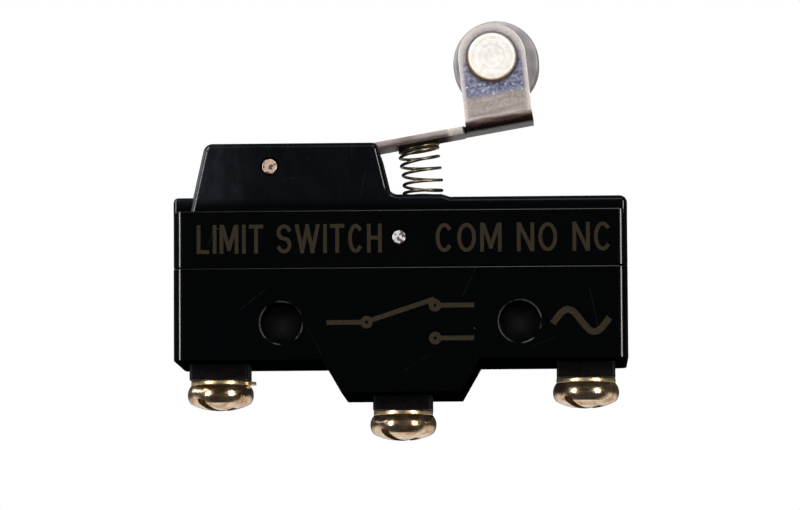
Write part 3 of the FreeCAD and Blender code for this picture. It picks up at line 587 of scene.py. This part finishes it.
# what the steel's finish follows: the height and the way out, the distance from a lug's rim, with
# one large value for the whole neck, and the distance from the rivet
height, out = level_points[:, 2], level_points[:, 0]
from_rivet = np.hypot(out - pin_out, height - pin_up)
rim = np.full(len(level_points), neck_from_rim)
rim[:clevis[..., 0].size] = (
    np.minimum(steps, 1 - steps)[None, :] * (profile_right - profile_left)[:, None]
).ravel()
rim = np.where(height > pin_up, lug_round - from_rivet, rim)
for label, values in (("height", height), ("out", out), ("rim", rim), ("from_rivet", from_rivet)):
    lever.data.attributes.new(label, "FLOAT", "POINT").data.foreach_set("value", values.astype(np.float32))
face_outwards(lever, 0.004)
thick = lever.modifiers.new("sheet", "SOLIDIFY")
thick.thickness, thick.offset, thick.use_quality_normals = sheet * mm, 0.0, True
edge = lever.modifiers.new("stamped_edge", "BEVEL")
edge.width, edge.segments, edge.limit_method, edge.angle_limit = 0.07 * mm, 2, "ANGLE", math.radians(50)

stamped_steel, spot = finish("stamped_steel")
height, out, rim, from_rivet = (
    spot.node("Attribute", {"attribute_name": label}, out=2)
    for label in ("height", "out", "rim", "from_rivet")
)
mottle, fine = grain(spot, 0.34, 6.0), grain(spot, 0.12, 3.0)
x, y, z = (coordinate(spot, number) for number in range(3))
rolled = spot.node("CombineXYZ", {}, {0: out * 0.12, 1: y * (1 / mm), 2: height})
streak = rolled.node("TexNoise", {}, {"Vector": rolled, "Scale": 2.6, "Detail": 4.0})
streaky, above_bend = fade(streak, 0.38, 0.62), fade(height, 1.6, 2.3)

# up the lug: black under the bend and brown round it, which are painted shade, a bright line above
# them, which is a painted highlight, then beige, violet and grey; the stops are heights in shares of
# ramp_top
ramp_top = 10.5
jitter = (height + (streak - 0.5) * 0.4 + (mottle - 0.5) * above_bend * 1.2) * (1 / ramp_top)
lug_dark = jitter.node("ValToRGB", {"stops": [
    (0.00, (0.20, 0.19, 0.17)), (0.060, (0.010, 0.008, 0.007)), (0.095, (0.030, 0.017, 0.014)),
    (0.118, (0.075, 0.045, 0.038)), (0.140, (0.24, 0.18, 0.165)), (0.158, (0.50, 0.45, 0.43)),
    (0.175, (0.33, 0.285, 0.25)), (0.340, (0.34, 0.295, 0.27)), (0.400, (0.085, 0.095, 0.19)),
    (0.640, (0.12, 0.12, 0.20)), (0.850, (0.40, 0.36, 0.36)),
]}, {0: jitter})
lug_light = jitter.node("ValToRGB", {"stops": [
    (0.00, (0.30, 0.29, 0.27)), (0.060, (0.014, 0.010, 0.009)), (0.095, (0.055, 0.032, 0.028)),
    (0.118, (0.19, 0.125, 0.115)), (0.140, (0.44, 0.35, 0.33)), (0.158, (0.68, 0.63, 0.61)),
    (0.175, (0.51, 0.46, 0.42)), (0.340, (0.52, 0.47, 0.44)), (0.400, (0.34, 0.355, 0.50)),
    (0.640, (0.39, 0.385, 0.50)), (0.850, (0.62, 0.575, 0.565)),
]}, {0: jitter})
light_share = (fade(mottle, 0.40, 0.60) * 0.6 + streaky * 0.4 - streaky) * above_bend + streaky
colour = mixed(light_share, lug_dark, lug_light)
# painted highlight: small bright glints on the lugs' faces
painted_glints = fade(mottle, 0.60, 0.68) * fade(height, 3.4, 4.2) * (1 - fade(height, 5.2, 6.0))
colour = mixed(painted_glints, colour, (0.92, 0.93, 0.97))
edge_band = (1 - fade(rim + (mottle - 0.5) * 0.5, 0.25, 0.60)) * fade(height, 1.3, 1.7)
colour = mixed(edge_band * 0.8, colour, (0.74, 0.68, 0.66))
# painted shadow: a dark ring on the front lug round the rivet's head
rivet_shadow = fade(from_rivet, 2.45, 2.60) * (1 - fade(from_rivet, 2.75, 3.05))
rivet_shadow = rivet_shadow * (1 - fade(y, -1.0 * mm, 1.0 * mm))
colour = mixed(rivet_shadow * 0.75, colour, (0.10, 0.08, 0.11))

# along the neck: dark and streaky, paler towards the lugs, and darker brown along its lower edge
own_up = (z - pivot_z * mm) * math.cos(lever_angle) - (x - pivot_x * mm) * math.sin(lever_angle)
lower_edge_dark = 1 - fade(own_up + (streak - 0.5) * (0.3 * mm), 0.50 * mm, 0.75 * mm)
bare = fade(out + streak * 0.8, lug_left - 1.9, lug_left - 1.0)
golden = fade(out, lug_left - 2.1, lug_left - 1.8) * (1 - fade(out, lug_left - 1.7, lug_left - 1.3))
neck_tone = mixed(fade(streak, 0.35, 0.65), (0.20, 0.16, 0.15), (0.33, 0.28, 0.27))
for mask, tone in (
    (fade(out, 13.0, 20.0) * 0.6, (0.45, 0.40, 0.385)), (lower_edge_dark * 0.85, (0.09, 0.065, 0.055)),
    (bare * 0.8, (0.55, 0.51, 0.49)), (golden * 0.5, (0.74, 0.63, 0.45)),
):
    neck_tone = mixed(mask, neck_tone, tone)
colour = mixed(fade(out, lug_left - 0.4, lug_left), neck_tone, colour)
colour = mixed(fade(fine * 0.6 + mottle * 0.4, 0.50, 0.62) * 0.28, colour, (0.16, 0.135, 0.13))

# the underside is dull, and dark brown near the spring, which is the spring's painted shadow
underside = fade(0 - coordinate(spot.node("TexCoord", out=1), 2), 0.80, 0.95)
near_spring = 1 - fade(abs(out - spring_out), 2.2, 3.6)
under_tone = mixed(near_spring, (0.30, 0.28, 0.26), (0.045, 0.032, 0.025))
under_tone = mixed(streaky * 0.3, under_tone, (0.24, 0.20, 0.17))
colour = mixed(underside, colour, under_tone)
dents = bumps(mottle + streak * 0.5 + fine * 0.3, 0.02)
lever.data.materials.append(layered(
    stamped_steel, underside * (near_spring * 0.65 + 0.30),
    {"Base Color": colour, "Metallic": 0.8, "Roughness": 0.40 + fine * 0.16, "Normal": dents},
    {"Base Color": colour, "Roughness": 0.9, "Specular IOR Level": 0.0},
))
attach(lever, "lever")
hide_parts("lever")

# ---------------------------------------------------------------- roller
# The roller is turned from grey nylon, with soft edges. Its bore is loose on the rivet, so that
# it hangs a little to the right of the rivet's middle and below it.
roller_x, roller_z = 10.3067, 28.4148
roller_radius, roller_half, roller_edge, bore_radius, bore_edge = 4.64, 2.0, 0.35, 1.95, 0.25


def turned(name, profile, x, z, turns=96):
    """A solid of revolution about a line along Y through (x, z): each (radius, y) point of the
    closed profile goes round at turns even angles."""
    profile = np.asarray(profile, float)
    angle = np.linspace(0, 2 * np.pi, turns, endpoint=False)
    points = np.stack([
        x + profile[:, :1] * np.cos(angle),
        np.repeat(profile[:, 1:], turns, 1),
        z + profile[:, :1] * np.sin(angle),
    ], -1).reshape(-1, 3)
    rows = len(profile)
    loop = np.concatenate([sheet_faces(rows, turns, around=True), np.stack([
        (rows - 1) * turns + np.arange(turns),
        (rows - 1) * turns + (np.arange(turns) + 1) % turns,
        (np.arange(turns) + 1) % turns,
        np.arange(turns),
    ], -1)])
    made = piece(name, points, loop)
    face_outwards(made, 0.002)
    return made


def rounded(corner_radius, corner_y, radius, start, end, count=7):
    """Points of a profile's arc about (corner_radius, corner_y), between two angles in degrees."""
    angle = np.radians(np.linspace(start, end, count))
    return np.stack([corner_radius + radius * np.cos(angle), corner_y + radius * np.sin(angle)], -1)


roller = turned("nylon_roller", np.concatenate([
    rounded(roller_radius - roller_edge, roller_edge - roller_half, roller_edge, 0, -90),
    rounded(bore_radius + bore_edge, bore_edge - roller_half, bore_edge, -90, -180),
    rounded(bore_radius + bore_edge, roller_half - bore_edge, bore_edge, 180, 90),
    rounded(roller_radius - roller_edge, roller_half - roller_edge, roller_edge, 90, 0),
]), roller_x, roller_z)
nylon, spot = finish("grey_nylon")
cloud = grain(spot, 1.6, 4.0)
fine = grain(spot, 0.12, 3.0)
roller.data.materials.append(shaded(
    nylon, spot, 0.0, 0.42 + fine * 0.12,
    mixed(fade(cloud, 0.35, 0.65), (0.24, 0.23, 0.235), (0.33, 0.315, 0.32)), fine, 0.008,
))
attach(roller, "roller")
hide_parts("roller")

# ---------------------------------------------------------------- roller rivet
# The rivet is turned from nickel-plated steel. Its broad flat head in front shows the rings of
# the turning, and its tail is peened over the lug behind.
rivet_x = pivot_x + pin_out * math.cos(lever_angle) - pin_up * math.sin(lever_angle)
rivet_z = pivot_z + pin_out * math.sin(lever_angle) + pin_up * math.cos(lever_angle)
head_face, lug_face, tail_face = -3.7, 3.1, 3.5
head_radius, head_round, shank_radius, tail_radius, tail_round = 2.6, 0.28, 1.2, 1.9, 0.2
rivet = turned("roller_rivet", np.concatenate([
    [(0.0, head_face + 0.03), (0.25, head_face), (2.2, head_face)],
    rounded(head_radius - head_round, head_face + head_round, head_round, -90, 0),
    [(head_radius, -lug_face), (shank_radius, -lug_face)],
    [(shank_radius, lug_face), (tail_radius, lug_face)],
    rounded(tail_radius - tail_round, tail_face - tail_round, tail_round, 0, 90),
    [(0.6, tail_face), (0.0, tail_face - 0.12)],
]), rivet_x, rivet_z)
plated, spot = finish("turned_nickel")
centred = spot.node("Mapping", {"vector_type": "TEXTURE"}, {
    "Vector": spot, "Location": (rivet_x * mm, 0.0, rivet_z * mm)})
beside, above = coordinate(centred, 0), coordinate(centred, 2)
radius = (beside * beside + above * above) ** 0.5
rings = radius.node("TexNoise", {"noise_dimensions": "1D"}, {"W": radius, "Scale": 4200.0, "Detail": 4.0})
cast = grain(spot, 0.5, 4.0)
swirl = fade(rings * 0.5 + cast * 0.5, 0.40, 0.60)
colour = mixed(swirl, (0.74, 0.705, 0.64), (0.88, 0.855, 0.83))
# painted reflection: the rounded rim of the head turns golden on its lower left side
lower_left_reflection = fade(0 - above - beside * 0.5, 0.2 * mm, 1.6 * mm)
rim_tone_and_reflection = mixed(lower_left_reflection, (0.60, 0.56, 0.50), (0.60, 0.33, 0.07))
colour = mixed(fade(radius, 2.38 * mm, 2.52 * mm), colour, rim_tone_and_reflection)
rivet.data.materials.append(shaded(
    plated, spot, 0.35, 0.38 + rings * 0.15, colour, rings + cast * 0.5, 0.02,
))
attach(rivet, "lever")
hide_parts("roller_pin")

# ---------------------------------------------------------------- return spring
# The return spring is wound from dark spring wire: closed at both ends and open between, it
# stands on the cover and its top coils lie against the lever's slanting underside.
spring_x, coil_radius, wire_radius = 2.26, 2.06, 0.165
turn_numbers = [0.0, 1.0, 2.0, 3.0, 4.0, 5.0, 6.0, 7.0, 7.5]
turn_heights = [13.90, 14.22, 14.88, 16.00, 17.20, 18.32, 19.22, 19.57, 19.72]
lean_foot, lean_top, lean_shift = 15.5, 19.2, -0.40
smoothing = 31

# the wire's line is a helix whose height follows the turns above, smoothed, and whose upper turns
# lean and slant with the lever; its round section is carried along it
stations = np.linspace(0.0, turn_numbers[-1], 541)
heights = np.interp(stations, turn_numbers, turn_heights)
window = np.hanning(smoothing) / np.hanning(smoothing).sum()
heights = np.convolve(np.pad(heights, smoothing // 2, mode="edge"), window, "valid")
angle = 2 * np.pi * stations
leaning = np.clip((heights - lean_foot) / (lean_top - lean_foot), 0, 1)
leaning = leaning**2 * (3 - 2 * leaning)
line_x = coil_radius * np.cos(angle)
coil = np.stack([
    spring_x + lean_shift * leaning + line_x,
    coil_radius * np.sin(angle),
    heights + line_x * math.tan(lever_angle) * leaning,
], -1)
along = np.gradient(coil, axis=0)
along /= np.linalg.norm(along, axis=1)[:, None]
outward = np.stack([np.cos(angle), np.sin(angle), np.zeros_like(angle)], -1)
beside = np.cross(along, outward)
beside /= np.linalg.norm(beside, axis=1)[:, None]
outward = np.cross(beside, along)
around = np.linspace(0, 2 * np.pi, 12, endpoint=False)
section = np.cos(around)[None, :, None] * outward[:, None, :]
section = section + np.sin(around)[None, :, None] * beside[:, None, :]
tube = coil[:, None, :] + wire_radius * section
last = (len(stations) - 1) * len(around)
spring = piece(
    "coil_spring",
    tube.reshape(-1, 3),
    [*sheet_faces(len(stations), len(around), around=True)[:, ::-1],
     list(range(len(around))), list(range(last, last + len(around)))[::-1]],
)
face_outwards(spring)
wire, spot = finish("spring_wire")
drawn = grain(spot, 1.3, 2.0)
spring.data.materials.append(shaded(
    wire, spot, 0.9, 0.26 + drawn * 0.2,
    mixed(fade(drawn, 0.35, 0.65), (0.10, 0.085, 0.06), (0.30, 0.255, 0.17)), drawn, 0.006,
))
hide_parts("return_spring")
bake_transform(spring)

# ---------------------------------------------------------------- plunger
# The plunger is moulded in pale plastic. It slides in the cover and passes the lever's push to
# the blade, and its end is polished by the lever.
material, spot = finish("plunger_moulding")
cloud = grain(spot, 0.8, 4.0)
dress("plunger", shaded(
    material, spot, 0.0, 0.35 + cloud * 0.15,
    mixed(cloud, (0.62, 0.55, 0.42), (0.72, 0.66, 0.54)), cloud, 0.01,
))

# ---------------------------------------------------------------- blade, contacts and terminals
# The blade is beryllium copper and its anchor brass, the contacts are silver, the terminals are
# darkly plated brass, and their screws and washers steel with a golden zinc passivation.


def plated_metal(name, dark, light, roughness, patch_size):
    """A metal with patches of two tones and fine unevenness."""
    material, spot = finish(name)
    patches = grain(spot, patch_size, 5.0)
    brushed = grain(spot, 0.15, 3.0, stretch=(0.1, 1.0, 1.0))
    return shaded(
        material, spot, 0.95, roughness + brushed * 0.15,
        mixed(fade(patches * 0.6 + brushed * 0.4, 0.36, 0.60), dark, light), brushed + patches, 0.008,
    )


# each metal: its darker and its lighter tone, its roughness, and the size of its patches
silver = ((0.78, 0.77, 0.74), (0.92, 0.91, 0.88), 0.25, 0.4)
metals = {
    "snap_blade": ((0.55, 0.28, 0.13), (0.75, 0.43, 0.24), 0.25, 0.4),
    "tongue_anchor": ((0.55, 0.42, 0.20), (0.78, 0.62, 0.32), 0.28, 0.4),
    "moving_contact": silver,
    "normally_open_contact": silver,
    "normally_closed_contact": silver,
}
for terminal in ("common", "normally_open", "normally_closed"):
    metals[terminal + "_terminal"] = ((0.006, 0.007, 0.013), (0.020, 0.015, 0.016), 0.42, 0.4)
    metals[terminal + "_screw"] = ((0.46, 0.25, 0.10), (0.90, 0.71, 0.50), 0.12, 1.3)
    metals[terminal + "_washer"] = ((0.66, 0.43, 0.15), (0.97, 0.83, 0.56), 0.30, 0.4)
for node, tones_and_finish in metals.items():
    dress(node, plated_metal(node + "_finish", *tones_and_finish))

# ---------------------------------------------------------------- pegs in the mounting holes, as painted shade
# Two dark pegs reach into the mounting holes from behind as painted shade. They belong to the
# backdrop, not to the switch. Their ends are slightly domed and glow paler in the middle: painted light.
peg_radius, peg_front, peg_dome, peg_back = 2.1, -6.4, 0.8, 3.0
peg_painted_shade, spot = finish("peg_painted_shade")
# painted light: the pegs glow faintly, paler in the middle
peg_painted_glow = (1 - fade(from_hole(spot), 0.2 * mm, peg_radius * mm)) * fade(grain(spot, 4.0), 0.1, 0.6)
shaded(
    peg_painted_shade, spot, 0.0, 0.9, mixed(peg_painted_glow, (0.005, 0.005, 0.006), (0.008, 0.008, 0.009)),
    **{
        "Emission Color": mixed(peg_painted_glow, (0.3, 0.3, 0.32), (0.9, 0.9, 0.95)),
        "Emission Strength": 0.0035,
        "Specular IOR Level": 0.0,
    },
)
dome = np.linspace(0, 1, 12)
for name, side in (("left", -1), ("right", 1)):
    peg = turned(name + "_peg", np.concatenate([
        np.stack([peg_radius * dome, peg_front + peg_dome * dome**2], -1),
        [(peg_radius, peg_back), (0.0, peg_back)],
    ]), side * hole_out, 0.0, turns=48)
    peg.data.materials.append(peg_painted_shade)
